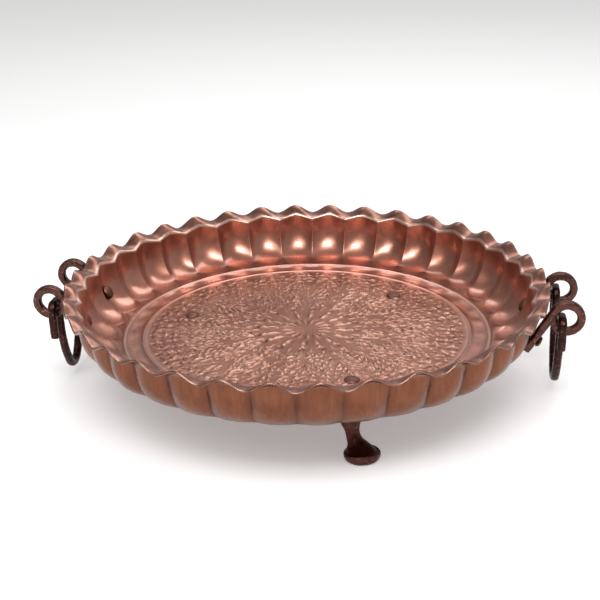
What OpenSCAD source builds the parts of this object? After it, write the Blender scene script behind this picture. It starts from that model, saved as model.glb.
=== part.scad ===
// Round fluted copper tray on three riveted feet, with two hinged drop bails.
// Millimetres, +Z up. The origin is on the ground, on the tray's axis. The bails hang at +X and -X.
// A flute centre lies on +X. Heights in profile lists are measured from the mean height of the rim.

/* [Tray] */
// Radius of the rim's edge
rim_r = 160; // [158:1:162]
// Mean height of the rim's edge above the ground
rim_h = 76; // [75:1:78]
// Thickness of the copper sheet
sheet = 1.2; // [1.0:0.1:1.4]
// How far the rim's edge waves above and below its mean height
lip_wave = 2.7; // [2.2:0.1:3.0]
// Samples along one flute (even, so that each crease has a sample)
flute_steps = 6; // [4,6]
// Steps down the wall
wall_steps = 6; // [4:1:8]

/* [Lugs] */
// Distance of each lug from the X axis
lug_y = 25.6; // [25:0.2:26]
// Thickness of the lug's bar, in the plane of its eye
bar_t = 5.5; // [5.3:0.1:5.6]
// Width of the lug's bar, along its eye's axis
bar_w = 5.4; // [5.2:0.1:5.6]
// Radius of the eye's hole
eye_hole_r = 6.3; // [6.2:0.1:6.4]
// Angle of the strap above the horizontal
strap_angle = 59; // [58.5:0.5:59.5]
// Length of the strap below the point where it leaves the eye
strap_len = 32.5; // [31.5:0.5:33.5]

/* [Bails] */
// Radius of the bail's bar
bail_r = 2.8; // [2.8:0.05:2.9]
// Radius of the stretch that turns in the eye
pivot_r = 2.6; // [2.5:0.05:2.6]
// Distance of the bail's legs from the X axis at the hinge
bail_leg_y = 19; // [18.6:0.1:19.2]
// Radius of each leg's long curve
leg_curve_r = 60; // [56:1:64]
// Turn of each leg's long curve
leg_curve_angle = 35; // [33:1:36]
// Straight drop of each leg of the right bail, below its bend
drop_right = 10; // [8:1:12]
// Straight drop of each leg of the left bail, which was forged a little longer
drop_left = 13; // [10:1:14]
// Length of the right bail's folded ends, on the outside of its eyes
fold_right = 16; // [14:1:18]
// Length of the left bail's folded ends
fold_left = 20; // [18:1:21]

/* [Feet] */
// Distance of the feet's rivets from the tray's axis
foot_r = 84.5; // [83:0.5:86]
// Half the width of the hoof
hoof_w = 11.3; // [10.3:0.5:12.3]

/* [Rivets] */
// Radius of the shanks
shank_r = 2.3; // [2.2:0.1:2.4]
// Radius of the domed heads
head_r = 5; // [4.6:0.1:5.2]
// Height of the domed heads
head_h = 2.6; // [2.4:0.1:2.8]
// Radius of the upset tails
tail_r = 3.6; // [3.4:0.1:3.8]
// Height of the upset tails
tail_h = 2; // [1.8:0.1:2.2]

/* [Hidden] */
$fn = 48;

copper = [0.72, 0.42, 0.32];
dark_bronze = [0.25, 0.14, 0.12];

// Number of flutes around the wall. The lugs' rivets go through flute centres.
flutes = 36;
// Depth of the chased floor's top below the mean rim
floor_drop = 35;
// Directions of the feet around the tray, and the turn of each foot about its rivet
foot_azimuths = [-63.8, 49, 169];
foot_turns = [-8, 0, 0];
// Samples around the tray
around = flutes * flute_steps;
floor_z = rim_h - floor_drop;
under_z = floor_z - sheet;

// Wall curves from the lip's root down to the floor, as [radius, height from the mean rim]: along
// the crease between two flutes, and along a flute's centre. Each is one cubic Bezier.
crease_curve = [[148.3, -5.1], [147.7, -14.6], [142.2, -33.6], [130.4, -33.8]];
flute_curve = [[151.7, -2.9], [153.9, -16], [149.6, -34.4], [126.4, -34.5]];
// The outer valley at a crease is hammered fuller than the sheet, by this share of the sheet
crease_fill = 0.55;
// Rings of the floor from its centre outwards: the thin chased line, the gutter and the round ridge
floor_rings = [[109.4, -35], [110.6, -34.5], [111.8, -34.9], [120.8, -34.7], [122.4, -33.9], [124, -34.5]];

// Place within a flute: 0 at its centre, 1 at the creases on both sides
function flute_t(k) = abs(2 * (k / flute_steps - round(k / flute_steps)));
// 1 at a flute's centre and 0 at a crease: a sharp scoop, flatter at the lip's root
function scoop(t, u) = 1 - pow(t, 1.15 + 0.85 * min(1, 3 * u));
function bezier(p, u) = pow(1 - u, 3) * p[0] + 3 * u * pow(1 - u, 2) * p[1]
    + 3 * u * u * (1 - u) * p[2] + pow(u, 3) * p[3];
function wall_point(t, u) = let (w = scoop(t, u))
    w * bezier(flute_curve, u) + (1 - w) * bezier(crease_curve, u);
function edge_point(t) = [rim_r, lip_wave * cos(180 * t)];
// The inner face from the floor's edge to the rim's edge
function inner_profile(t) = concat(
    floor_rings,
    [for (i = [wall_steps:-1:0]) wall_point(t, i / wall_steps)],
    [(wall_point(t, 0) + edge_point(t)) / 2, edge_point(t)]);
// Unit normal that points out of the sheet's lower face, at point i of a profile
function outward(p, i) = let (a = p[max(i - 1, 0)], b = p[min(i + 1, len(p) - 1)], d = (b - a) / norm(b - a))
    [d[1], -d[0]];
function outer_profile(t) = let (p = inner_profile(t), first = len(floor_rings), last = len(p) - 1)
    concat([[p[first - 1][0], -floor_drop - sheet]],
        [for (i = [first + 1:last]) p[i] + outward(p, i) * sheet * (i < last - 1 ? 1 + crease_fill * t : 1)]);
// One closed half section, from the inner floor over the rim to the outer floor
function section(t) = let (o = outer_profile(t)) concat(inner_profile(t), [for (i = [len(o) - 1:-1:0]) o[i]]);
function on_ring(p, k) = [p[0] * cos(360 * k / around), p[0] * sin(360 * k / around), p[1] + rim_h];

module fluted_dish() {
    rows = len(section(0));
    body = [for (k = [0:around - 1], p = section(flute_t(k))) on_ring(p, k)];
    top = len(body);
    bottom = top + 1;
    walls = [for (k = [0:around - 1], j = [0:rows - 2])
        let (a = k * rows + j, b = ((k + 1) % around) * rows + j)
        each [[a, b + 1, a + 1], [a, b, b + 1]]];
    floors = [for (k = [0:around - 1]) let (a = k * rows, b = ((k + 1) % around) * rows)
        each [[top, b, a], [bottom, a + rows - 1, b + rows - 1]]];
    polyhedron(concat(body, [[0, 0, floor_z], [0, 0, under_z]]), concat(walls, floors));
}

module tray_body() {
    color(copper) difference() {
        fluted_dish();
        for (side = [0, 180], y = [-lug_y, lug_y])
            rotate(side) at_lug_rivet(y) cylinder(r = shank_r, h = 6 * sheet, center = true);
        for (i = [0:len(foot_azimuths) - 1])
            at_foot(i) translate([0, 0, floor_z - sheet / 2]) cylinder(r = shank_r, h = 3 * sheet, center = true);
    }
}

// Lug: a bar riveted under the lip, which rises outwards and curls over into a closed eye
eye_r = eye_hole_r + bar_t;
eye_x = 169.6;
eye_z = rim_h - 10.5;
// Distance down the strap from the eye's tangent point to the rivet
rivet_s = 23;
// Height of the wall's inner face above the strap's inner face, along the rivet's axis
wall_stack = sheet + 0.9;

// Local frame of a lug's strap: origin on its inner face where the eye's curl ends, +X up the
// strap and +Z out of its inner face, towards the tray
module at_strap(y) {
    translate([eye_x, y, eye_z]) rotate([0, -strap_angle, 0]) translate([0, 0, eye_r]) children();
}

module at_lug_rivet(y) {
    at_strap(y) translate([-rivet_s, 0, 0]) children();
}

module lug(y) {
    color(dark_bronze) difference() {
        union() {
            translate([eye_x, y, eye_z]) rotate([90, 0, 0]) cylinder(r = eye_r, h = bar_w, center = true);
            at_strap(y) translate([-strap_len / 2, 0, -bar_t / 2]) cube([strap_len, bar_w, bar_t], center = true);
        }
        translate([eye_x, y, eye_z]) rotate([90, 0, 0]) cylinder(r = eye_hole_r, h = 2 * bar_w, center = true);
        at_lug_rivet(y) cylinder(r = shank_r, h = 3 * bar_t, center = true);
    }
}

// Rivet along Z: its head sits on z = 0 and its shank goes down through a stack of the given height
module rivet(stack) {
    dome_r = (head_r * head_r + head_h * head_h) / (2 * head_h);
    color(dark_bronze) union() {
        intersection() {
            translate([0, 0, head_h - dome_r]) sphere(r = dome_r);
            cylinder(r = head_r, h = head_h + 1);
        }
        translate([0, 0, -stack - tail_h]) cylinder(r = shank_r, h = stack + tail_h + head_h / 2);
        translate([0, 0, -stack - tail_h]) cylinder(r1 = tail_r - 0.8, r2 = tail_r, h = tail_h);
    }
}

module lug_rivet(y) {
    at_lug_rivet(y) translate([0, 0, wall_stack]) rivet(wall_stack + bar_t);
}

// Bail: one bar bent to a rounded U. Each end goes through its eye from the inside and is folded
// down on the outside. It hangs below the stretch that turns in the eye.
hinge_x = eye_x - 2.9;
hinge_z = eye_z - 0.5;
eye_gap = 0.4;
pivot_in = lug_y - bar_w / 2 - eye_gap;
pivot_out = lug_y + bar_w / 2 + eye_gap;
// Radius of the bends on both sides of the eye
bend_r = pivot_in - bail_leg_y;
// Radius of the low curve, and the drop from the legs' curves' centres to its own
low_r = (bail_leg_y - leg_curve_r * (1 - cos(leg_curve_angle))) / cos(leg_curve_angle);
low_drop = (leg_curve_r - low_r) * sin(leg_curve_angle);

// The bar is drawn down a little at each stretch, from its low curve towards the eyes
forge_step = 0.06;

// Part of a ring in the YZ plane, from angle a over the given turn; 0 is along +Y
module bent_bar(ring_r, bar_r, a, turn) {
    rotate([90, 0, 90]) rotate(a) rotate_extrude(angle = turn) translate([ring_r, 0]) circle(r = bar_r);
}

module bail_leg(drop, fold) {
    translate([0, bail_leg_y - leg_curve_r, -bend_r - drop])
        bent_bar(leg_curve_r, bail_r - forge_step, -leg_curve_angle, leg_curve_angle);
    translate([0, bail_leg_y, -bend_r - drop]) cylinder(r = bail_r - 2 * forge_step, h = drop);
    translate([0, pivot_in, -bend_r]) bent_bar(bend_r, pivot_r, 90, 90);
    translate([0, pivot_in, 0]) rotate([-90, 0, 0]) cylinder(r = pivot_r, h = pivot_out - pivot_in);
    translate([0, pivot_out, -bend_r]) bent_bar(bend_r, pivot_r, 0, 90);
    translate([0, pivot_out + bend_r, -bend_r - fold]) cylinder(r1 = pivot_r - 0.5, r2 = pivot_r, h = fold);
}

module bail(drop, fold) {
    color(dark_bronze) translate([hinge_x, 0, hinge_z]) union() {
        translate([0, 0, -bend_r - drop - low_drop])
            bent_bar(low_r, bail_r, leg_curve_angle - 180, 180 - 2 * leg_curve_angle);
        bail_leg(drop, fold);
        mirror([0, 1, 0]) bail_leg(drop, fold);
    }
}

// Foot: a palm under the floor, a leg that leans outwards and a hoof that rests on the ground. The
// hoof lies straight ahead of the rivet, and the palm and leg are turned a little to one side of it.
// Each section is [height, centre ahead of the rivet, centre aside of it, half length, half width].
foot_sections = [
    [0, 26.3, 0, 7.4, 0.76 * hoof_w],
    [1.3, 26.3, 0, 9.2, 0.92 * hoof_w],
    [3.2, 26.2, 0, 10, hoof_w],
    [5.2, 25.6, -0.2, 9.6, 0.96 * hoof_w],
    [6.8, 23.8, -0.8, 7.6, 0.78 * hoof_w],
    [8.6, 21.6, -2, 5.4, 6.4],
    [11.5, 19.4, -3.5, 4.2, 4.6],
    [16, 17.6, -4.2, 4, 4.6],
    [21.5, 16.2, -4.9, 4.4, 6.4],
    [29, 15, -5.1, 5, 8],
    [under_z - 2.4, 14, -5.2, 5.6, 8.6]];
foot_steps = 24;
palm_t = 3;
palm_r = 8;
palm_reach = 12;
palm_turn = -18;

module leg_and_hoof() {
    points = [for (s = foot_sections, k = [0:foot_steps - 1])
        let (a = 360 * k / foot_steps) [s[1] + s[3] * cos(a), s[2] + s[4] * sin(a), s[0]]];
    last = len(foot_sections) - 1;
    sides = [for (i = [0:last - 1], k = [0:foot_steps - 1])
        let (a = i * foot_steps + k, b = i * foot_steps + (k + 1) % foot_steps)
        each [[a, a + foot_steps, b + foot_steps], [a, b + foot_steps, b]]];
    sole = [[for (k = [0:foot_steps - 1]) k]];
    top = [[for (k = [foot_steps - 1:-1:0]) last * foot_steps + k]];
    polyhedron(points, concat(sides, sole, top));
}

module palm() {
    rotate(palm_turn) translate([0, 0, under_z - palm_t]) {
        cylinder(r = palm_r, h = palm_t);
        translate([0, -palm_r, 0]) cube([palm_reach, 2 * palm_r, palm_t]);
        translate([palm_reach, 0, 0]) cylinder(r = palm_r, h = palm_t);
    }
}

module at_foot(i) {
    rotate(foot_azimuths[i]) translate([foot_r, 0, 0]) rotate(foot_turns[i]) children();
}

module foot(i) {
    color(dark_bronze) at_foot(i) difference() {
        union() {
            leg_and_hoof();
            palm();
        }
        translate([0, 0, under_z - 2 * palm_t]) cylinder(r = shank_r, h = 3 * palm_t);
    }
}

module foot_rivet(i) {
    at_foot(i) translate([0, 0, floor_z]) rivet(sheet + palm_t);
}

tray_body();
lug(-lug_y);  // lug_right_front
lug(lug_y);  // lug_right_back
rotate(180) lug(lug_y);  // lug_left_front
rotate(180) lug(-lug_y);  // lug_left_back
lug_rivet(-lug_y);  // lug_rivet_right_front
lug_rivet(lug_y);  // lug_rivet_right_back
rotate(180) lug_rivet(lug_y);  // lug_rivet_left_front
rotate(180) lug_rivet(-lug_y);  // lug_rivet_left_back
bail(drop_right, fold_right);  // bail_right
rotate(180) bail(drop_left, fold_left);  // bail_left
foot(0);  // foot_front
foot(1);  // foot_back_right
foot(2);  // foot_left
foot_rivet(0);  // foot_rivet_front
foot_rivet(1);  // foot_rivet_back_right
foot_rivet(2);  // foot_rivet_left
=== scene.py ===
"""Looks of the footed fluted copper tray: a raised and chased copper dish, forged lugs and bails,
cast hoof feet and hammered rivets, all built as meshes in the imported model's frame."""
import math

import bpy
import numpy as np
from mathutils import Matrix, Vector, noise


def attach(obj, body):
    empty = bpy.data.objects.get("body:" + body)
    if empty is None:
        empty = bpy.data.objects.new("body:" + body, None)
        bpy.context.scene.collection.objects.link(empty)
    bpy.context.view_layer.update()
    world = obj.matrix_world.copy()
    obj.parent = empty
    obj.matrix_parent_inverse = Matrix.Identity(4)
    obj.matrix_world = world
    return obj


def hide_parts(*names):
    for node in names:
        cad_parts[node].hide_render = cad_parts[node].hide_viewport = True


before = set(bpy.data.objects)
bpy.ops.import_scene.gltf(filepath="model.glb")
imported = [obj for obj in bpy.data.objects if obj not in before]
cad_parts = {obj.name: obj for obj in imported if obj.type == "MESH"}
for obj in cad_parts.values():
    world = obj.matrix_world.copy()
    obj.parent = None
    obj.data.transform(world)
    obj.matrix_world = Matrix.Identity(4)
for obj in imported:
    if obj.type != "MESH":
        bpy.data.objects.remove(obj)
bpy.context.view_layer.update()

MM = 0.001
rng = np.random.default_rng(36)

# ---------------------------------------------------------------- sizes, in millimetres
RIM_R, RIM_H, SHEET, LIP_WAVE = 160.0, 76.0, 1.2, 2.7
FLUTES = 36
FLOOR_Z = RIM_H - 35.0
# The wall's curves from the lip's root to the floor, [radius, height from the mean rim]
CREASE_CURVE = np.array([[148.3, -5.1], [147.7, -14.6], [142.9, -32.6], [133.2, -33.6]])
FLUTE_CURVE = np.array([[151.7, -2.9], [153.9, -16.0], [149.2, -36.0], [126.2, -34.5]])
# Height of the crisp edge that closes each flute's rounded lower end
SPOON_EDGE = 0.4
CREASE_FILL = 0.55
# How much deeper than its drawing the floor's ornament is chased, and the lowest and highest it goes
RELIEF, RELIEF_LOW, RELIEF_HIGH = 2.2, -.9, .95
# Radius of the chased field, width of its fading edge, and radius up to which small marks are struck
FIELD_R, FIELD_FADE, MARKS_R = 107.4, 2.5, 105.5
# Petals of the rosette, which are also the sprays and the chains of leaves around it
PETALS = 16
# Height of the dish's underside below the rim
UNDER_Z = -36.2
# Places across half a flute where the mesh has a column: closest beside the crease
HALF_FLUTE = [0, .18, .36, .53, .68, .81, .91, .97]
COLUMNS = FLUTES * 2 * len(HALF_FLUTE)

LUG_Y, BAR_T, BAR_W, EYE_HOLE_R = 25.6, 5.5, 5.4, 6.3
STRAP_ANGLE, STRAP_LEN, RIVET_S = math.radians(59), 32.5, 23.0
EYE = np.array([169.6, RIM_H - 10.5])
EYE_R = EYE_HOLE_R + BAR_T
WALL_STACK = SHEET + 0.9
HINGE = EYE + np.array([-2.9, -0.5])

BAIL_R, PIVOT_R, BAIL_LEG_Y, LEG_CURVE_R, LEG_CURVE_ANGLE = 2.8, 2.6, 19.0, 60.0, math.radians(35)
EYE_GAP = 0.4
# Straight drop of each bail's legs, and length of its folded ends
DROP = {"right": 10.0, "left": 13.0}
FOLD = {"right": 16.0, "left": 20.0}

FOOT_R, FOOT_AZIMUTHS, FOOT_TURNS = 84.5, (-63.8, 49, 169), (-8, 0, 0)
SHANK_R, HEAD_R, HEAD_H, TAIL_R, TAIL_H = 2.3, 5.0, 2.6, 3.6, 2.0


# ---------------------------------------------------------------- mesh helpers
def mesh_object(name, points, faces):
    """A smooth mesh object from points in millimetres."""
    mesh = bpy.data.meshes.new(name)
    mesh.from_pydata((np.asarray(points, float) * MM).tolist(), [], [list(map(int, f)) for f in faces])
    mesh.validate()
    mesh.polygons.foreach_set("use_smooth", [True] * len(mesh.polygons))
    obj = bpy.data.objects.new(name, mesh)
    bpy.context.scene.collection.objects.link(obj)
    return obj


def float_attribute(obj, name, values):
    attribute = obj.data.attributes.new(name, "FLOAT", "POINT")
    attribute.data.foreach_set("value", np.asarray(values, np.float32))


def grid_faces(rows, columns, flip=False):
    """Quads of a grid of rows whose last column joins its first."""
    faces = []
    for j in range(rows - 1):
        for k in range(columns):
            a, b = j * columns + k, j * columns + (k + 1) % columns
            quad = (a, b, b + columns, a + columns)
            faces.append(quad[::-1] if flip else quad)
    return faces


def bumps(points, size, seed):
    """Smooth noise between about -1 and 1 at each point, with dents of the given size in mm."""
    shift = Vector((seed * 7.31, seed * 3.17, seed * 5.71))
    return np.array([noise.noise(Vector(p) / size + shift) for p in points])


def swept(name, path, frames, section):
    """A bar along a path. frames has each ring's two section axes, section(i, a) its radii."""
    around = 20
    points = []
    for i, (p, (u, v)) in enumerate(zip(path, frames)):
        for k in range(around):
            a = 2 * math.pi * k / around
            su, sv = section(i, a)
            points.append(p + u * su + v * sv)
    rings = len(path)
    faces = grid_faces(rings, around)
    ends = []
    for ring, forward in ((0, False), (rings - 1, True)):
        points.append(path[ring])
        centre = len(points) - 1
        for k in range(around):
            a, b = ring * around + k, ring * around + (k + 1) % around
            ends.append((a, b, centre) if forward else (b, a, centre))
    return mesh_object(name, points, faces + ends)


def roughened(obj, amount, size, seed):
    """Moves each vertex along its normal by smooth noise: hammer dents and casting skin."""
    mesh = obj.data
    n = len(mesh.vertices)
    co = np.empty(n * 3, np.float32)
    no = np.empty(n * 3, np.float32)
    mesh.vertices.foreach_get("co", co)
    mesh.vertices.foreach_get("normal", no)
    co, no = co.reshape(-1, 3), no.reshape(-1, 3)
    dents = bumps(co / MM, size, seed)[:, None]
    mesh.vertices.foreach_set("co", (co + no * dents * amount * MM).ravel())
    mesh.update()


# ---------------------------------------------------------------- the tray
def bezier(curve, u):
    u = np.asarray(u, float)[..., None]
    p = curve
    return (1 - u) ** 3 * p[0] + 3 * u * (1 - u) ** 2 * p[1] + 3 * u * u * (1 - u) * p[2] + u ** 3 * p[3]


def column_places():
    """Of each column: its place in the flute from 0 at the centre to 1 at a crease, the wall's
    angle and the floor's evenly spaced angle. Every crease and flute is slightly uneven."""
    half = HALF_FLUTE + [1.0] + [2 - s for s in HALF_FLUTE[:0:-1]]
    place = np.tile(half, FLUTES)
    flute = np.repeat(np.arange(FLUTES), len(half))
    t = np.minimum(place, 2 - place)
    crease_shift = rng.normal(0, .22, FLUTES + 1)
    crease_shift[-1] = crease_shift[0]
    ahead = np.where(place <= 1, crease_shift[flute + 1], crease_shift[(flute + 1) % FLUTES])
    pitch = 360 / FLUTES
    wall_angle = np.radians((flute + place / 2) * pitch + ahead * t ** 2)
    even_angle = 2 * np.pi * np.arange(COLUMNS) / COLUMNS
    nearest = np.where(place <= 1, flute, (flute + 1) % FLUTES)
    return t, wall_angle, even_angle, nearest, (flute + 1) % FLUTES


def scoop(t, u):
    return 1 - t ** (1.15 + .85 * np.minimum(1, 3 * u))


def wall_rows(t, us, depth):
    """[row, column, (radius, height)] of the wall's inner face for each share us of the way down."""
    rows = []
    for u in us:
        w = scoop(t, u)[:, None]
        ring = w * bezier(FLUTE_CURVE, u) + (1 - w) * bezier(CREASE_CURVE, u)
        ring[:, 0] += depth * scoop(t, u) * math.sin(math.pi * min(1, u + .05))
        ring[:, 1] += SPOON_EDGE * max(0, 1 - (1 - u) / .05)
        rows.append(ring)
    return rows


def stroke(heights, xy, centre, angle, length, width, height, taper=.45):
    """Adds one chased stroke, a teardrop ridge (or groove, if height is negative)."""
    near = np.abs(xy - centre).max(axis=1) < length + width
    if not near.any():
        return
    d = xy[near] - centre
    s = (d[:, 0] * math.cos(angle) + d[:, 1] * math.sin(angle)) / length
    w = (-d[:, 0] * math.sin(angle) + d[:, 1] * math.cos(angle)) / (width * (1 + taper * s))
    shape = np.clip(1 - s * s, 0, 1) ** .7 * np.exp(-1.6 * w * w)
    heights[near] += height * np.where(np.abs(s) < 1, shape, 0)


def polar(r, angle):
    return np.array([r * math.cos(angle), r * math.sin(angle)])


def rosette(h, xy):
    """Low petals around the centre, with a bright leaf tip and a punch mark beyond each."""
    step = 2 * math.pi / PETALS
    for k in range(PETALS):
        a, b = (k + .5) * step + rng.normal(0, .02), k * step + rng.normal(0, .02)
        stroke(h, xy, polar(12.5, a), a, 4.6, 1.0, .26, .6)
        stroke(h, xy, polar(12.0, b), b, 4.6, .6, -.34, .5)
        stroke(h, xy, polar(23.5, b), b, 4.4, 1.5, .42, .5)
        stroke(h, xy, polar(23.5, b + .10), b + .05, 4.4, .6, -.34, 0)
        stroke(h, xy, polar(29.8, b), b + rng.normal(0, .1), 2.6, 1.2, .42, .3)
        stroke(h, xy, polar(34.6, b), b, 1.8, 1.6, -.6, 0)
        stroke(h, xy, polar(39.0, b), b + rng.normal(0, .1), 3.0, .8, .26, .3)
        stroke(h, xy, polar(35.0, a), a, 4.0, 1.0, .24, .4)


def feathers(h, xy):
    """Sprays of short leaves that lean away from sixteen radial lines, thicker towards the edge."""
    half_width = math.pi / PETALS
    for k in range(2 * PETALS):
        line = 2 * math.pi * (k // 2 + .25) / PETALS
        side = 1 if k % 2 else -1
        for row in range(5):
            share = (row + .35) / 5
            r = 40 + 3 * (row % 2)
            while r < 86:
                here = line + side * share * half_width + rng.normal(0, .9) / r
                lean = side * (.22 + .3 * share) + rng.normal(0, .16)
                size = rng.uniform(.7, 1.15)
                if rng.uniform() < .8 and share * half_width * r > .8:
                    stroke(h, xy, polar(r, here), here + lean, 2.6 * size, .62, .40 * size, .5)
                    beside = polar(r, here) + polar(.8 * side, here + lean + math.pi / 2)
                    stroke(h, xy, beside, here + lean, 2.0 * size, .5, -.26 * size, .3)
                r += rng.uniform(4.2, 6.2)


def chains(h, xy):
    """A line of larger leaves along each spray, each with a dark groove beside it."""
    for k in range(PETALS):
        line = 2 * math.pi * (k + .25) / PETALS + math.pi / PETALS
        r = rng.uniform(42, 46)
        while r < 86:
            way = rng.choice([-1, 1])
            place = polar(r, line + rng.normal(0, 1.0) / r)
            angle = line + way * .28 + rng.normal(0, .1)
            stroke(h, xy, place, angle, rng.uniform(2.6, 3.6), 1.05, rng.uniform(.26, .44), .5)
            stroke(h, xy, place + polar(1.35 * way, angle + math.pi / 2), angle, 2.6, .7, -.32, .2)
            r += rng.uniform(6.0, 8.5)


def scrolls(h, xy):
    """A busy border of small curled leaves and punch marks, and finer marks over the whole field."""
    leaves = 64
    for k in range(leaves):
        a = 2 * math.pi * k / leaves
        way = 1 if k % 2 else -1
        for r, turn, size in ((89, 62, 3.0), (95.5, -48, 3.4), (101.5, 55, 3.0)):
            angle = a + rng.normal(0, .012)
            stroke(h, xy, polar(r + rng.normal(0, .7), angle),
                   angle + way * math.radians(turn + rng.normal(0, 18)),
                   size * rng.uniform(.7, 1.1), .75, .34, .5)
            stroke(h, xy, polar(r + 3, angle + .045), angle - way * math.radians(turn), 1.6, .9, -.42, 0)
    for k in range(1700):
        r = MARKS_R * math.sqrt(rng.uniform(.13, 1))
        a = rng.uniform(0, 2 * math.pi)
        edge = max(0, (r - 82) / 24)
        turn = rng.normal(0, .45 + 2 * edge)
        length = rng.uniform(1.0, 2.2)
        stroke(h, xy, polar(r, a), a + turn, length, .5, rng.choice([-.28, -.2, .2]) * (1 + edge), 0)


def chasing(xy):
    """Height in mm of the floor's chased ornament at each place."""
    h = np.zeros(len(xy))
    rosette(h, xy)
    feathers(h, xy)
    chains(h, xy)
    scrolls(h, xy)
    return np.clip(RELIEF * h, RELIEF_LOW, RELIEF_HIGH)


def floor_disc():
    """The chased floor as rings of points from its edge to its centre. The number of points in a
    ring halves as the rings shrink, so that the mesh stays even."""
    radii = list(np.arange(FIELD_R, 2, -1.03))
    rings, count = [], COLUMNS
    for r in radii:
        while count > 18 and 2 * math.pi * r / count < .62:
            count //= 2
        rings.append((r, count))
    return rings


def join_rings(start, count, next_start, next_count):
    """Faces between a ring of points and the next one inwards, which may have half as many."""
    faces = []
    if count == next_count:
        for k in range(count):
            a, b = start + k, start + (k + 1) % count
            c, d = next_start + (k + 1) % count, next_start + k
            faces.append((a, b, c, d))
    else:
        for k in range(next_count):
            a, b, c = start + 2 * k, start + (2 * k + 1) % count, start + (2 * k + 2) % count
            d, e = next_start + k, next_start + (k + 1) % next_count
            faces += [(a, b, d), (d, b, e), (b, c, e)]
    return faces


def build_tray():
    t, wall_angle, even_angle, flute, crease = column_places()
    depth = rng.normal(0, .35, FLUTES)[flute] * (1 - t) + rng.normal(0, .2, FLUTES)[crease] * t
    lift = rng.normal(0, .28, FLUTES)[flute] * (1 - t) + rng.normal(0, .28, FLUTES)[crease] * t

    # Inner face, from the floor's edge out to the lip's edge: (rows of radius and height, angle)
    rings = [(108.3, -35), (109.3, -35), (110.0, -34.72), (110.6, -34.55), (111.2, -34.7), (111.9, -34.95),
             (114, -35.05), (117.5, -35), (120, -34.78), (121.4, -34.35), (122.5, -33.95), (123.3, -33.9),
             (124.1, -34.15), (124.9, -34.5)]
    inner = [np.tile([r, z], (COLUMNS, 1)) for r, z in rings]
    for ring in inner:
        ring[:, 1] += .3 * np.cos(np.pi * t) * np.clip(1 - abs(ring[:, 0] - 117.5) / 4, 0, 1)
    blend = list(np.clip((np.array([r for r, _ in rings]) - 110) / 13, 0, 1))
    down = np.array([1, .975, .95, .925, *np.linspace(.89, 0, 22)])
    inner += wall_rows(t, down, depth)
    blend += [1] * len(down)
    root = inner[-1]
    edge = np.stack([RIM_R - .8 + 0 * t, LIP_WAVE * np.cos(np.pi * t) + lift], 1)
    corners = np.stack([root[:, 0] - root[:, 0].mean(), 0 * t], 1)
    for s in np.linspace(0, 1, 9)[1:]:
        ring = (root - corners) * (1 - s) + edge * s + corners * (1 - s) ** 2
        ring[:, 1] += .55 * math.sin(math.pi * s)
        inner.append(ring)
        blend.append(1)
    inner = np.array(inner)
    first_wall, lip_start = len(rings), len(rings) + len(down) - 1

    # Outer face: the inner one moved along its section's normal by the sheet's thickness
    def offset(rows, indices):
        moved = []
        for i in indices:
            a, b = rows[max(i - 1, 0)], rows[min(i + 1, len(rows) - 1)]
            d = (b - a) / np.linalg.norm(b - a, axis=1)[:, None]
            normal = np.stack([d[:, 1], -d[:, 0]], 1)
            fill = 1 + CREASE_FILL * t[:, None] if i < lip_start else np.ones((COLUMNS, 1))
            moved.append(rows[i] + normal * SHEET * fill)
        return moved

    last = len(inner) - 1
    lip_below = offset(inner, range(last - 1, lip_start + 1, -2))
    wall_below = offset(inner, list(range(lip_start - 1, first_wall, -1)))
    tip = (inner[-1] + offset(inner, [last])[0]) / 2
    out = inner[-1] - inner[-3]
    out = out / np.linalg.norm(out, axis=1)[:, None]
    across = inner[-1] - tip
    bead = [tip + across * 1.15 * math.cos(a) + out * .85 * math.sin(a)
            for a in np.radians([25, 60, 90, 120, 155])]
    under = [np.tile([r, UNDER_Z + z], (COLUMNS, 1))
             for r, z in ((124.6, 0), (123, .7), (121, .3), (118, 0), (112, 0))]
    rows = list(inner) + bead + offset(inner, [last]) + lip_below + wall_below + under
    blend += [1] * (len(bead) + 1 + len(lip_below) + len(wall_below)) + [1, .9, .7, .5, .2]
    rows = np.array(rows)
    angles = np.array(blend)[:, None] * wall_angle + (1 - np.array(blend))[:, None] * even_angle
    x, y, z = rows[..., 0] * np.cos(angles), rows[..., 0] * np.sin(angles), rows[..., 1] + RIM_H
    skin = np.stack([x, y, z], 2).reshape(-1, 3)
    faces = grid_faces(len(rows), COLUMNS, flip=True)

    # Chased floor inside the first ring, and the plain underside inside the last one
    points = [skin]
    total = len(skin)
    before, before_count = 0, COLUMNS
    chased = []
    for r, count in floor_disc():
        a = 2 * np.pi * np.arange(count) / count
        chased.append(np.stack([r * np.cos(a), r * np.sin(a)], 1))
        faces += join_rings(before, before_count, total, count)
        before, before_count = total, count
        total += count
    faces += [(before + k, before + (k + 1) % before_count, total) for k in range(before_count)]
    chased.append(np.zeros((1, 2)))
    total += 1
    xy = np.concatenate(chased)
    relief = chasing(xy)
    edge_fade = np.clip((FIELD_R - np.hypot(xy[:, 0], xy[:, 1])) / FIELD_FADE, 0, 1)
    relief = relief * edge_fade
    worn = .85 + .15 * bumps(np.c_[xy, 0 * relief], 30, 2)
    points.append(np.c_[xy, FLOOR_Z + relief * worn])
    before, before_count = (len(rows) - 1) * COLUMNS, COLUMNS
    plain = []
    for r, count in ((100, 288), (80, 144), (60, 144), (40, 72), (20, 36)):
        a = 2 * np.pi * np.arange(count) / count
        plain.append(np.stack([r * np.cos(a), r * np.sin(a), np.full(count, FLOOR_Z - SHEET)], 1))
        faces += [f[::-1] for f in join_rings(before, before_count, total, count)]
        before, before_count = total, count
        total += count
    faces += [(before + (k + 1) % before_count, before + k, total) for k in range(before_count)]
    plain.append(np.array([[0, 0, FLOOR_Z - SHEET]]))
    points += plain
    points = np.concatenate(points)

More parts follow.
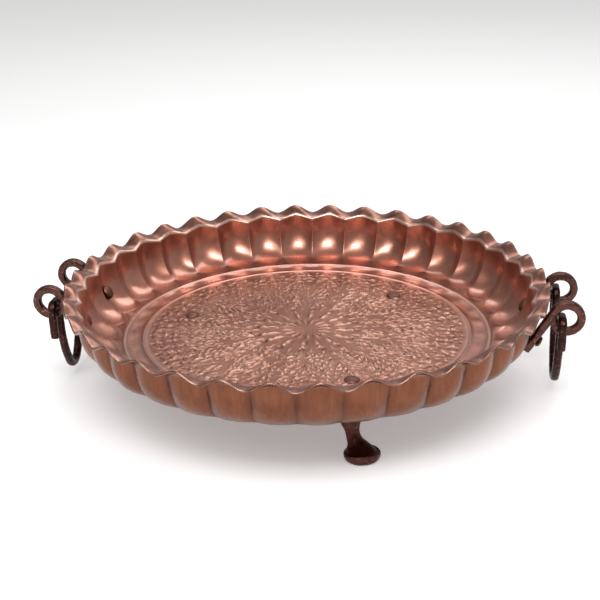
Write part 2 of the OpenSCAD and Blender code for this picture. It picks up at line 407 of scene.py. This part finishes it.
    # Hand-made unevenness, and what the material needs to know about each place
    n_skin, n_chased = len(skin), len(xy)
    inside = np.zeros(len(points))
    inside[:len(inner) * COLUMNS] = 1
    inside[n_skin:n_skin + n_chased] = 1
    wobble = bumps(points, 24, 5) * .22
    outward = points[:, :2] / np.maximum(np.hypot(points[:, 0], points[:, 1])[:, None], 1)
    on_wall = np.zeros(len(points))
    on_wall[first_wall * COLUMNS:n_skin - 5 * COLUMNS] = 1
    points[:, :2] += outward * (wobble * on_wall)[:, None]
    points[:, 2] += bumps(points * [1, 1, 0], 38, 9) * .18

    t_all = np.zeros(len(points))
    t_all[:n_skin] = np.tile(t, len(rows))
    crease_mark = np.zeros(len(points))
    crease_mark[first_wall * COLUMNS:n_skin - 5 * COLUMNS] = 1
    lip_mark = np.zeros(len(points))
    lip_rows = slice((lip_start + 1) * COLUMNS, (len(inner) + len(bead) + 1 + len(lip_below)) * COLUMNS)
    lip_mark[lip_rows] = 1
    ring_line = np.zeros(len(points))
    for row, share in ((1, .4), (4, .8), (5, .5), (8, .4), (9, .9), (13, .6), (14, .6)):
        ring_line[row * COLUMNS:(row + 1) * COLUMNS] = share
    # Lighter lines at the floor's edge, on the ridge, at the lip's root and along the lip's edge: painted
    # highlight lines along these edges, as well as wear
    edge_wear_and_highlight = np.zeros(len(points))
    edge_wear_and_highlight[:COLUMNS] = .5
    edge_wear_and_highlight[10 * COLUMNS:12 * COLUMNS] = .45
    edge_wear_and_highlight[lip_start * COLUMNS:(lip_start + 2) * COLUMNS] = 1
    edge_wear_and_highlight[(len(inner) - 1) * COLUMNS:(len(inner) + 2) * COLUMNS] = .3
    relief_all = np.zeros(len(points))
    relief_all[n_skin:n_skin + n_chased] = relief
    floor_mark = np.zeros(len(points))
    floor_mark[n_skin:n_skin + n_chased] = edge_fade

    obj = mesh_object("raised_dish", points, faces)
    float_attribute(obj, "inside", inside)
    float_attribute(obj, "crease", crease_mark * t_all ** 6)
    float_attribute(obj, "lip", lip_mark)
    float_attribute(obj, "worn", edge_wear_and_highlight)
    float_attribute(obj, "ring", ring_line)
    float_attribute(obj, "relief", relief_all)
    float_attribute(obj, "chased", floor_mark)
    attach(obj, "tray")
    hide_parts("tray_body")
    return obj


# ---------------------------------------------------------------- forged and cast pieces
def rounded(half_u, half_v, angle, power):
    """The point of a rounded rectangle's outline in the direction of an angle."""
    c, s = math.cos(angle), math.sin(angle)
    return (half_u * math.copysign(abs(c) ** (2 / power), c),
            half_v * math.copysign(abs(s) ** (2 / power), s))


def fused(obj, voxel):
    """Makes one closed skin of an object's overlapping solids, and rounds it a little."""
    remesh = obj.modifiers.new("remesh", "REMESH")
    remesh.mode = "VOXEL"
    remesh.voxel_size = voxel * MM
    remesh.use_smooth_shade = True
    soften = obj.modifiers.new("soften", "SMOOTH")
    soften.factor, soften.iterations = .5, 3
    apply_modifiers(obj)


def apply_modifiers(obj):
    graph = bpy.context.evaluated_depsgraph_get()
    mesh = bpy.data.meshes.new_from_object(obj.evaluated_get(graph))
    old = obj.data
    obj.modifiers.clear()
    obj.data = mesh
    bpy.data.meshes.remove(old)
    mesh.polygons.foreach_set("use_smooth", [True] * len(mesh.polygons))


def placed(obj, matrix):
    """Moves an object's vertices from millimetres of a local frame, given as a 4x4 matrix in mm."""
    scale = Matrix.Scale(MM, 4)
    obj.data.transform(scale @ matrix @ scale.inverted())
    obj.data.update()


def half_turn(side):
    return Matrix.Rotation(math.pi if side == "left" else 0, 4, "Z")


STRAP_UP = np.array([math.cos(STRAP_ANGLE), math.sin(STRAP_ANGLE)])
STRAP_IN = np.array([-math.sin(STRAP_ANGLE), math.cos(STRAP_ANGLE)])


def build_lug(name, side, y):
    """A bar whose lower end is riveted to the wall, curled outwards into an eye. The curl's end is
    drawn thin and laid against the strap."""
    middle = EYE_HOLE_R + BAR_T / 2
    path, frames, sizes = [], [], []

    def ring(xz, normal, thick, wide):
        path.append(np.array([xz[0], 0, xz[1]]))
        frames.append((np.array([0, 1.0, 0]), np.array([normal[0], 0, normal[1]])))
        sizes.append((wide / 2, thick / 2))

    for s in np.linspace(-STRAP_LEN, 0, 26)[:-1]:
        swell = math.exp(-((s + RIVET_S) / 6.0) ** 2)
        thick = BAR_T - .9 * swell - .5 * max(0, (-s - 27) / 5)
        offset = middle + (BAR_T - thick) / 2 - .25 * swell
        ring(EYE + STRAP_IN * offset + STRAP_UP * s, STRAP_IN, thick, BAR_W + 1.2 * swell)
    start = math.atan2(STRAP_IN[1], STRAP_IN[0])
    for turn in np.linspace(0, math.radians(343), 64):
        thin = max(0, (math.degrees(turn) - 285) / 58)
        thick = BAR_T * (1 - .58 * thin) - .3 * math.sin(turn / 2) ** 2
        a = start - turn
        normal = np.array([math.cos(a), math.sin(a)])
        ring(EYE + normal * (EYE_HOLE_R + thick / 2), normal, thick, BAR_W * (1 - .12 * thin))
    obj = swept(name + "_forged", path, frames, lambda i, a: rounded(*sizes[i], a, 4.2))
    fused(obj, .32)
    placed(obj, half_turn(side) @ Matrix.Translation((0, y, 0)))
    roughened(obj, .16, 3.2, len(name))
    roughened(obj, .07, 1.1, len(name) + 3)
    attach(obj, "tray")
    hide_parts(name)
    return obj


def lathe(name, profile, around=36):
    """A closed solid turned about Z from a profile of [radius, height], top to bottom."""
    points, faces = [(0, 0, profile[0][1])], []
    angles = np.linspace(0, 2 * math.pi, around, False)
    for r, z in profile[1:-1]:
        points += [(r * math.cos(a), r * math.sin(a), z) for a in angles]
    rings = len(profile) - 2
    points.append((0, 0, profile[-1][1]))
    last = len(points) - 1
    for k in range(around):
        n = (k + 1) % around
        faces.append((0, 1 + k, 1 + n))
        for j in range(rings - 1):
            a, b = 1 + j * around + k, 1 + j * around + n
            faces.append((a, a + around, b + around, b))
        faces.append((last, 1 + (rings - 1) * around + n, 1 + (rings - 1) * around + k))
    return mesh_object(name, points, faces)


def build_rivet(name, node, matrix, stack, height=1.0):
    """A rivet along Z: a hammered dome on z = 0, its shank, and a tail upset below the stack.
    The dome stands to the given share of its full height."""
    dome = [[HEAD_R * math.sin(a), height * HEAD_H * math.cos(a)]
            for a in np.radians([0, 12, 26, 40, 54, 66, 76, 84])]
    tail = -stack
    profile = dome + [[HEAD_R, .25], [HEAD_R - .1, .02], [HEAD_R - .5, -.02], [SHANK_R, -.03],
                      [SHANK_R, tail], [TAIL_R - .3, tail - .02], [TAIL_R, tail - .3],
                      [TAIL_R - .1, tail - 1.0], [TAIL_R - .7, tail - 1.7], [1.4, tail - TAIL_H],
                      [0, tail - TAIL_H]]
    obj = lathe(name, profile)
    roughened(obj, .22, 2.6, len(node) * 1.7)
    placed(obj, matrix)
    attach(obj, "tray")
    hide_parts(node)
    return obj


def build_bail(side):
    """One forged bar: U-shaped, turned outwards through both eyes and folded down outside them."""
    pivot_in, pivot_out = LUG_Y - BAR_W / 2 - EYE_GAP, LUG_Y + BAR_W / 2 + EYE_GAP
    bend = pivot_in - BAIL_LEG_Y
    curve_z = -bend - DROP[side]
    low_r = (BAIL_LEG_Y - LEG_CURVE_R * (1 - math.cos(LEG_CURVE_ANGLE))) / math.cos(LEG_CURVE_ANGLE)
    low_z = curve_z - (LEG_CURVE_R - low_r) * math.sin(LEG_CURVE_ANGLE)
    half = []  # (y, z, angle of the outward normal, half width along X, half thickness)

    def arc(cy, cz, r, first, last, steps, wide, thick):
        for i in range(steps):
            s = i / steps
            a = math.radians(first + (last - first) * s)
            size = [w0 + (w1 - w0) * s for w0, w1 in (wide, thick)]
            half.append((cy + r * math.cos(a), cz + r * math.sin(a), a, *size))

    for i in range(16):
        s = i / 16
        flat = 1 - s
        half.append((pivot_out + bend - .5 * flat, -bend - FOLD[side] * (1 - s), 0,
                     PIVOT_R + .12 * flat - .28 * max(0, 10 * flat - 9), PIVOT_R - .95 * flat))
    arc(pivot_out, -bend, bend, 0, 90, 10, (PIVOT_R, PIVOT_R), (PIVOT_R, PIVOT_R))
    for i in range(8):
        half.append((pivot_out - (pivot_out - pivot_in) * i / 8, 0, math.pi / 2, PIVOT_R, PIVOT_R))
    arc(pivot_in, -bend, bend, 90, 180, 10, (PIVOT_R, PIVOT_R), (PIVOT_R, PIVOT_R))
    inner = [(BAIL_LEG_Y, -bend - DROP[side] * i / 4, 0, PIVOT_R + .12, PIVOT_R + .12) for i in range(4)]
    arcs = len(half)
    half += inner
    arc(BAIL_LEG_Y - LEG_CURVE_R, curve_z, LEG_CURVE_R, 0, -math.degrees(LEG_CURVE_ANGLE), 22,
        (PIVOT_R + .12, BAIL_R), (PIVOT_R + .1, BAIL_R - .1))
    arc(0, low_z, low_r, -math.degrees(LEG_CURVE_ANGLE), -90, 12, (BAIL_R, BAIL_R), (BAIL_R - .1, BAIL_R))
    full = half + [(0, low_z - low_r, -math.pi / 2, BAIL_R, BAIL_R)]
    full += [(-y, z, math.pi - a, w, h) for y, z, a, w, h in reversed(half)]
    path = [np.array([HINGE[0], y, HINGE[1] + z]) for y, z, *_ in full]
    frames = []
    for i in range(len(full)):
        along = path[min(i + 1, len(path) - 1)] - path[max(i - 1, 0)]
        along = along / np.linalg.norm(along)
        frames.append((np.array([1.0, 0, 0]), np.cross(along, [1.0, 0, 0])))
    flat_end = arcs - 12

    def section(i, a):
        near_end = min(i, len(full) - 1 - i)
        power = 2.3 + 1.9 * max(0, 1 - near_end / max(flat_end, 1))
        return rounded(full[i][3], full[i][4], a, power)

    obj = swept("forged_bail_" + side, path, frames, section)
    fused(obj, .34)
    roughened(obj, .13, 3.6, 4 if side == "right" else 7)
    roughened(obj, .05, 1.2, 5)
    placed(obj, half_turn(side))
    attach(obj, side + "_bail")
    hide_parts("bail_" + side)
    return obj


# [height, centre ahead of the rivet, centre aside of it, half length, half width]
FOOT_SECTIONS = np.array([
    [0, 26.3, 0, 7.4, 8.6], [1.3, 26.3, 0, 9.2, 10.4], [3.2, 26.2, 0, 10, 11.3],
    [4.9, 26.0, 0, 10.1, 11.3], [5.5, 25.8, -.1, 9.5, 10.6], [5.0, 25.3, -.3, 8.5, 9.6],
    [6.2, 24.3, -.5, 7.3, 8.9], [8.6, 22.2, -1.4, 5.5, 6.7], [11.5, 19.7, -3.2, 4.4, 4.9],
    [16, 17.6, -4.2, 4, 4.6], [21.5, 16.2, -4.9, 4.4, 6.4],
    [29, 15, -5.1, 5, 8], [37.4, 14, -5.2, 5.6, 8.6]])
TOE_LIFT = 1.7
PALM_R, PALM_T, PALM_REACH, PALM_TURN = 8.0, 3.0, 12.0, math.radians(-18)


def between(rows, steps):
    """Rows with steps more between each two, on a smooth curve through them (Catmull-Rom)."""
    out = []
    for i in range(len(rows) - 1):
        p = [rows[max(i - 1, 0)], rows[i], rows[i + 1], rows[min(i + 2, len(rows) - 1)]]
        for s in np.arange(steps) / steps:
            out.append(.5 * (2 * p[1] + (p[2] - p[0]) * s + (2 * p[0] - 5 * p[1] + 4 * p[2] - p[3]) * s * s
                             + (3 * p[1] - p[0] - 3 * p[2] + p[3]) * s ** 3))
    return out + [rows[-1]]


def build_foot(name, azimuth, turn):
    """A cast foot: a palm under the floor, a waisted leg and a hollowed hoof whose toe turns up."""
    around = 40
    rows = between(FOOT_SECTIONS, 4)
    points = []
    for z, ahead, aside, long, wide in rows:
        for k in range(around):
            a = 2 * math.pi * k / around
            toe = TOE_LIFT * max(0, math.cos(a)) ** 1.5 * max(0, 1 - abs(z - 5) / 3.6)
            points.append((ahead + long * math.cos(a), aside + wide * math.sin(a), max(z, 0) + toe))
    faces = grid_faces(len(rows), around)
    for ring, forward in ((0, False), (len(rows) - 1, True)):
        points.append((rows[ring][1], rows[ring][2], rows[ring][0]))
        for k in range(around):
            a, b = ring * around + k, ring * around + (k + 1) % around
            faces.append((a, b, len(points) - 1) if forward else (b, a, len(points) - 1))
    top = FLOOR_Z - SHEET
    plate = [(top, -.4), (top - .5, 0), (top - PALM_T + .8, 0), (top - PALM_T, -.6)]
    first = len(points)
    reach = np.array([math.cos(PALM_TURN), math.sin(PALM_TURN)]) * PALM_REACH
    for z, grow in plate:
        for k in range(around):
            a = 2 * math.pi * (k + .5) / around
            centre = reach * (math.cos(a - PALM_TURN) > 0)
            points.append((*(centre + polar(PALM_R + grow, a)), z))
    faces += [tuple(first + i for i in f) for f in grid_faces(len(plate), around, flip=True)]
    for ring, forward in ((0, True), (len(plate) - 1, False)):
        points.append((*(reach / 2), plate[ring][0]))
        for k in range(around):
            a, b = first + ring * around + k, first + ring * around + (k + 1) % around
            faces.append((a, b, len(points) - 1) if forward else (b, a, len(points) - 1))
    obj = mesh_object("cast_" + name, points, faces)
    fused(obj, .45)
    roughened(obj, .2, 4.5, len(name) * 2.3)
    roughened(obj, .07, 1.4, len(name))
    for v in obj.data.vertices:
        v.co.z = min(max(v.co.z, 0), top * MM)
    placed(obj, Matrix.Rotation(math.radians(azimuth), 4, "Z") @ Matrix.Translation((FOOT_R, 0, 0))
           @ Matrix.Rotation(math.radians(turn), 4, "Z"))
    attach(obj, "tray")
    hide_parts(name)
    return obj


# ---------------------------------------------------------------- materials
def set_range(node, low, high, to_low, to_high):
    for socket, number in zip(("From Min", "From Max", "To Min", "To Max"), (low, high, to_low, to_high)):
        node.inputs[socket].default_value = number


class Shader:
    """A material's node tree, with short calls to add nodes."""

    def __init__(self, name, **constants):
        self.material = bpy.data.materials.new(name)
        self.material.use_nodes = True
        self.tree = self.material.node_tree
        self.bsdf = self.tree.nodes["Principled BSDF"]
        for socket, value in constants.items():
            self.bsdf.inputs[socket.replace("_", " ")].default_value = value
        self.position = self.tree.nodes.new("ShaderNodeTexCoord").outputs["Object"]

    def put(self, value, socket):
        if hasattr(value, "is_output") or hasattr(value, "links"):
            self.tree.links.new(value, socket)
        else:
            socket.default_value = value

    def attribute(self, name):
        node = self.tree.nodes.new("ShaderNodeAttribute")
        node.attribute_name = name
        return node.outputs["Fac"]

    def math(self, operation, a, b=0.0, clamp=False):
        node = self.tree.nodes.new("ShaderNodeMath")
        node.operation, node.use_clamp = operation, clamp
        self.put(a, node.inputs[0])
        self.put(b, node.inputs[1])
        return node.outputs[0]

    def stretched(self, scale):
        node = self.tree.nodes.new("ShaderNodeMapping")
        self.put(self.position, node.inputs["Vector"])
        node.inputs["Scale"].default_value = scale
        return node.outputs[0]

    def noise(self, size, detail=3.0, rough=.55, vector=None, distortion=0.0):
        node = self.tree.nodes.new("ShaderNodeTexNoise")
        self.put(vector or self.position, node.inputs["Vector"])
        node.inputs["Scale"].default_value = 1 / (size * MM)
        node.inputs["Detail"].default_value = detail
        node.inputs["Roughness"].default_value = rough
        node.inputs["Distortion"].default_value = distortion
        return node.outputs["Fac"]

    def wisps(self, width, length):
        """Fine noise drawn out along the radius, of the given size in mm at a radius of 75 mm."""
        flat = self.tree.nodes.new("ShaderNodeVectorMath")
        flat.operation = "MULTIPLY"
        flat.inputs[1].default_value = (1, 1, 0)
        self.put(self.position, flat.inputs[0])
        radius = self.tree.nodes.new("ShaderNodeVectorMath")
        radius.operation = "LENGTH"
        self.put(flat.outputs[0], radius.inputs[0])
        way = self.tree.nodes.new("ShaderNodeVectorMath")
        way.operation = "NORMALIZE"
        self.put(flat.outputs[0], way.inputs[0])
        spread = self.tree.nodes.new("ShaderNodeVectorMath")
        spread.operation = "SCALE"
        spread.inputs["Scale"].default_value = 75 / width
        self.put(way.outputs[0], spread.inputs[0])
        split = self.tree.nodes.new("ShaderNodeSeparateXYZ")
        self.put(spread.outputs[0], split.inputs[0])
        joined = self.tree.nodes.new("ShaderNodeCombineXYZ")
        self.put(split.outputs[0], joined.inputs[0])
        self.put(split.outputs[1], joined.inputs[1])
        self.put(self.math("MULTIPLY", radius.outputs["Value"], 1 / (length * MM)), joined.inputs[2])
        noise_node = self.tree.nodes.new("ShaderNodeTexNoise")
        self.put(joined.outputs[0], noise_node.inputs["Vector"])
        noise_node.inputs["Scale"].default_value = .5
        noise_node.inputs["Detail"].default_value = 3
        noise_node.inputs["Distortion"].default_value = .6
        return noise_node.outputs["Fac"]

    def cells(self, size, feature="F1"):
        node = self.tree.nodes.new("ShaderNodeTexVoronoi")
        node.feature = feature
        self.put(self.position, node.inputs["Vector"])
        node.inputs["Scale"].default_value = 1 / (size * MM)
        return node.outputs["Distance"]

    def remap(self, value, low, high, to_low=0.0, to_high=1.0):
        node = self.tree.nodes.new("ShaderNodeMapRange")
        self.put(value, node.inputs["Value"])
        set_range(node, low, high, to_low, to_high)
        return node.outputs["Result"]

    def mix(self, share, a, b):
        node = self.tree.nodes.new("ShaderNodeMix")
        node.data_type = "RGBA"
        self.put(share, node.inputs["Factor"])
        self.put(a, node.inputs[6])
        self.put(b, node.inputs[7])
        return node.outputs[2]

    def bump(self, height, depth, strength=1.0, normal=None):
        node = self.tree.nodes.new("ShaderNodeBump")
        node.inputs["Distance"].default_value = depth * MM
        node.inputs["Strength"].default_value = strength
        self.put(height, node.inputs["Height"])
        if normal is not None:
            self.put(normal, node.inputs["Normal"])
        return node.outputs["Normal"]

    def finish(self, color, roughness, normal):
        self.put(color, self.bsdf.inputs["Base Color"])
        self.put(roughness, self.bsdf.inputs["Roughness"])
        self.put(normal, self.bsdf.inputs["Normal"])
        return self.material


# Copper's colours: pairs are the dull and the bright end of its cloudy patches
WALL_COLORS = (.45, .18, .12, 1), (.57, .24, .165, 1)
WALL_STAIN = (.34, .13, .088, 1)
OUTSIDE_COLORS = (.155, .057, .033, 1), (.235, .092, .052, 1)
FIELD_COLORS = (.335, .135, .088, 1), (.42, .195, .135, 1)
# The second colour below lightens the raised chased strokes: painted highlight as well as wear
GROOVE_COLOR, RIDGE_HIGHLIGHT_AND_WEAR_COLOR = (.15, .055, .036, 1), (.74, .45, .34, 1)
OUTER_CREASE_COLOR, INNER_CREASE_COLOR = (.13, .05, .032, 1), (.38, .16, .11, 1)
RING_COLOR = (.20, .08, .055, 1)
LIP_COLORS = (.20, .085, .062, 1), (.34, .165, .125, 1)
# The first colour below is the light colour of the edges: painted highlight lines as well as wear
WEAR_AND_HIGHLIGHT_COLOR, PIT_COLOR = (.80, .54, .44, 1), (.05, .02, .015, 1)


def copper_sheet():
    """Raised and planished copper: lighter on the chased heights and along edges, where painted highlight
    stands beside wear, brown in creases and chased lines, browner outside with upright streaks and a
    few dark pits, and waxed inside."""
    s = Shader("hammered_copper", Metallic=1.0)
    inside, crease, lip = s.attribute("inside"), s.attribute("crease"), s.attribute("lip")
    relief, chased = s.attribute("relief"), s.attribute("chased")
    broad, fine = s.noise(34, 4), s.noise(3.2, 5, .6)
    polished = s.mix(s.remap(broad, .35, .65), *WALL_COLORS)
    color = s.mix(s.remap(fine, .45, .8, 0, .35), polished, WALL_STAIN)
    streaks = s.remap(s.noise(2.4, 3, .6, s.stretched((1, 1, .1))), .35, .65, 0, .5)
    clouds = s.remap(s.noise(18, 4), .35, .7, 0, .6)
    color = s.mix(inside, s.mix(s.math("ADD", clouds, streaks), *OUTSIDE_COLORS), color)
    color = s.mix(chased, color, s.mix(s.remap(s.noise(45, 3), .4, .62), *FIELD_COLORS))
    color = s.mix(s.remap(relief, -.08, -.6, 0, .9), color, GROOVE_COLOR)
    # Raised chased strokes made lighter: painted highlight on the relief, as well as wear on its tops
    color = s.mix(s.remap(relief, .12, .6, 0, .55), color, RIDGE_HIGHLIGHT_AND_WEAR_COLOR)
    crease_color = s.mix(inside, OUTER_CREASE_COLOR, INNER_CREASE_COLOR)
    color = s.mix(s.math("MULTIPLY", crease, s.remap(fine, .3, .7, .5, 1)), color, crease_color)
    patchiness = s.remap(fine, .3, .6, .4, .9)
    color = s.mix(s.math("MULTIPLY", s.attribute("ring"), patchiness), color, RING_COLOR)
    lip_color = s.mix(s.remap(s.noise(7, 3), .4, .65), *LIP_COLORS)
    color = s.mix(s.math("MULTIPLY", lip, .85), color, lip_color)
    # Lighter along the edges in the worn attribute: painted highlight lines as well as wear
    color = s.mix(s.math("MULTIPLY", s.attribute("worn"), patchiness), color, WEAR_AND_HIGHLIGHT_COLOR)
    pitted = s.math("MULTIPLY", s.remap(s.cells(11), .075, .05), s.remap(s.noise(60, 1), .5, .58))
    color = s.mix(s.math("MULTIPLY", pitted, s.math("SUBTRACT", 1.0, inside)), color, PIT_COLOR)

    roughness = s.remap(s.noise(9, 4), .3, .7, .22, .36)
    roughness = s.math("ADD", roughness, s.math("MULTIPLY", inside, .05))
    roughness = s.math("SUBTRACT", roughness, s.math("MULTIPLY", lip, .03))
    roughness = s.math("ADD", roughness, s.math("MULTIPLY", crease, .12))
    # A thin film of wax inside, which gives highlights a white heart
    coat = s.math("SUBTRACT", inside, s.math("MULTIPLY", lip, .7))
    s.put(s.math("SUBTRACT", coat, s.math("MULTIPLY", chased, .65), True), s.bsdf.inputs["Coat Weight"])
    s.bsdf.inputs["Coat Roughness"].default_value = .14

    normal = s.bump(s.cells(8.5, "SMOOTH_F1"), .35, .35)
    normal = s.bump(s.math("MULTIPLY", s.wisps(.6, 2.6), chased), .22, .5, normal)
    normal = s.bump(s.math("MULTIPLY", s.noise(1.5, 3, .6, distortion=1.5), chased), .25, .5, normal)
    normal = s.bump(s.noise(1.1, 3, .6), .05, .7, normal)
    return s.finish(color, roughness, normal)


def dark_metal(name, tint, worn, gloss, skin):
    """Forged or cast metal with a dark brown patina, rubbed lighter in places."""
    s = Shader(name, Metallic=1.0)
    patches, fine = s.noise(6, 4, .6), s.noise(1.3, 4, .65)
    color = s.mix(s.remap(patches, .35, .7), tint, tuple(c * 1.9 for c in tint[:3]) + (1,))
    color = s.mix(s.remap(fine, .58, .75, 0, .7), color, worn)
    roughness = s.remap(patches, .3, .7, gloss, gloss + .2)
    normal = s.bump(s.noise(2.4, 4, .6), .5 * skin, .7)
    normal = s.bump(s.cells(1.6), .16 * skin, .5, normal)
    return s.finish(color, roughness, normal)


# ---------------------------------------------------------------- the set, light and camera
def build_floor():
    mesh = bpy.data.meshes.new("floor")
    half = 12  # metres
    corners = [(-half, -half, 0), (half, -half, 0), (half, half, 0), (-half, half, 0)]
    mesh.from_pydata(corners, [], [(0, 1, 2, 3)])
    floor = bpy.data.objects.new("floor", mesh)
    bpy.context.scene.collection.objects.link(floor)
    s = Shader("pale_floor", Emission_Color=(1, 1, 1, 1), Emission_Strength=.3)
    grain = s.noise(40, 2)
    s.finish(s.mix(grain, (.86, .86, .86, 1), (.9, .9, .9, 1)), .6, s.bump(grain, .02, .1))
    mesh.materials.append(s.material)


def area_light(name, place, target, size, power, color=(1, 1, 1)):
    light = bpy.data.lights.new(name, "AREA")
    light.shape, light.size, light.size_y = "RECTANGLE", size[0], size[1]
    light.energy, light.color = power, color
    obj = bpy.data.objects.new(name, light)
    obj.location = place
    obj.rotation_euler = (Vector(target) - Vector(place)).to_track_quat("-Z", "Y").to_euler()
    bpy.context.scene.collection.objects.link(obj)


def build_lights():
    """A grey studio, lighter behind and on the right, with soft boxes above, behind and in front."""
    world = bpy.data.worlds.new("studio")
    bpy.context.scene.world = world
    world.use_nodes = True
    nodes, links = world.node_tree.nodes, world.node_tree.links
    background = nodes["Background"]
    direction = nodes.new("ShaderNodeSeparateXYZ")
    links.new(nodes.new("ShaderNodeTexCoord").outputs["Generated"], direction.inputs[0])

    def ramp(axis, low, high):
        node = nodes.new("ShaderNodeMapRange")
        links.new(direction.outputs[axis], node.inputs["Value"])
        set_range(node, -1, 1, low, high)
        return node.outputs["Result"]

    strength = nodes.new("ShaderNodeMath")
    strength.operation = "MULTIPLY"
    links.new(ramp("X", .66, 1.42), strength.inputs[0])
    links.new(ramp("Y", .24, .46), strength.inputs[1])
    links.new(strength.outputs[0], background.inputs["Strength"])
    background.inputs["Color"].default_value = (1, .98, .97, 1)
    area_light("overhead", (.05, -.8, 1.25), (0, 0, 0), (.9, .55), 15)
    area_light("back_high", (.2, .95, 1.2), (0, 0, .04), (1.3, .5), 6)
    area_light("front", (-.4, -1.3, 1.25), (0, 0, .05), (1.4, .5), 5)
    bpy.context.scene.view_settings.view_transform = "Standard"


def build_camera():
    """The camera's place and aim, in a frame turned about Z so that the right bail comes nearer."""
    tilt, turn, roll = math.radians(22.27), math.radians(7.73), math.radians(-1.169)
    forward = Vector((0, math.cos(tilt), -math.sin(tilt)))
    right = Vector((1, 0, 0))
    up = right.cross(forward)
    axes = Matrix((right, up, -forward)).transposed().to_4x4()
    place = Vector((-.0042, -.7005, .3488))
    camera = bpy.data.cameras.new("camera")
    camera.lens, camera.sensor_width = 67.41, 36
    obj = bpy.data.objects.new("camera", camera)
    obj.matrix_world = (Matrix.Rotation(turn, 4, "Z") @ Matrix.Translation(place) @ axes
                        @ Matrix.Rotation(roll, 4, "Z"))
    bpy.context.scene.collection.objects.link(obj)
    bpy.context.scene.camera = obj


# ---------------------------------------------------------------- everything together
def build_all():
    build_camera()
    build_floor()
    build_lights()
    copper = copper_sheet()
    lug_metal = dark_metal("dark_lug_metal", (.075, .032, .026, 1), (.60, .36, .30, 1), .26, 1.2)
    bail_metal = dark_metal("dark_bail_metal", (.028, .012, .010, 1), (.52, .27, .21, 1), .26, 1.3)
    foot_metal = dark_metal("dark_foot_metal", (.06, .022, .018, 1), (.50, .27, .22, 1), .30, 1.2)
    rivet_metal = dark_metal("dark_rivet_metal", (.14, .062, .048, 1), (.5, .3, .25, 1), .34, .8)
    floor_rivet_metal = dark_metal("worn_rivet_metal", (.14, .065, .055, 1), (.45, .26, .22, 1), .42, .6)

    build_tray().data.materials.append(copper)
    strap_frame = Matrix(((STRAP_UP[0], 0, STRAP_IN[0], 0), (0, 1, 0, 0),
                          (STRAP_UP[1], 0, STRAP_IN[1], 0), (0, 0, 0, 1)))
    rivet_xz = EYE + STRAP_IN * EYE_R - STRAP_UP * RIVET_S
    for side in ("right", "left"):
        for end, way in (("front", -1), ("back", 1)):
            y = way * LUG_Y * (1 if side == "right" else -1)
            place = side + "_" + end
            build_lug("lug_" + place, side, y).data.materials.append(lug_metal)
            matrix = half_turn(side) @ Matrix.Translation((rivet_xz[0], y, rivet_xz[1])) @ strap_frame
            matrix = matrix @ Matrix.Translation((0, 0, WALL_STACK))
            rivet = build_rivet("hammered_rivet_" + place, "lug_rivet_" + place, matrix, WALL_STACK + BAR_T)
            rivet.data.materials.append(rivet_metal)
        build_bail(side).data.materials.append(bail_metal)
    for name, azimuth, turn in zip(("front", "back_right", "left"), FOOT_AZIMUTHS, FOOT_TURNS):
        build_foot("foot_" + name, azimuth, turn).data.materials.append(foot_metal)
        matrix = Matrix.Rotation(math.radians(azimuth), 4, "Z") @ Matrix.Translation((FOOT_R, 0, FLOOR_Z))
        rivet = build_rivet("hammered_rivet_foot_" + name, "foot_rivet_" + name, matrix, SHEET + 3, .7)
        rivet.data.materials.append(floor_rivet_metal)


build_all()
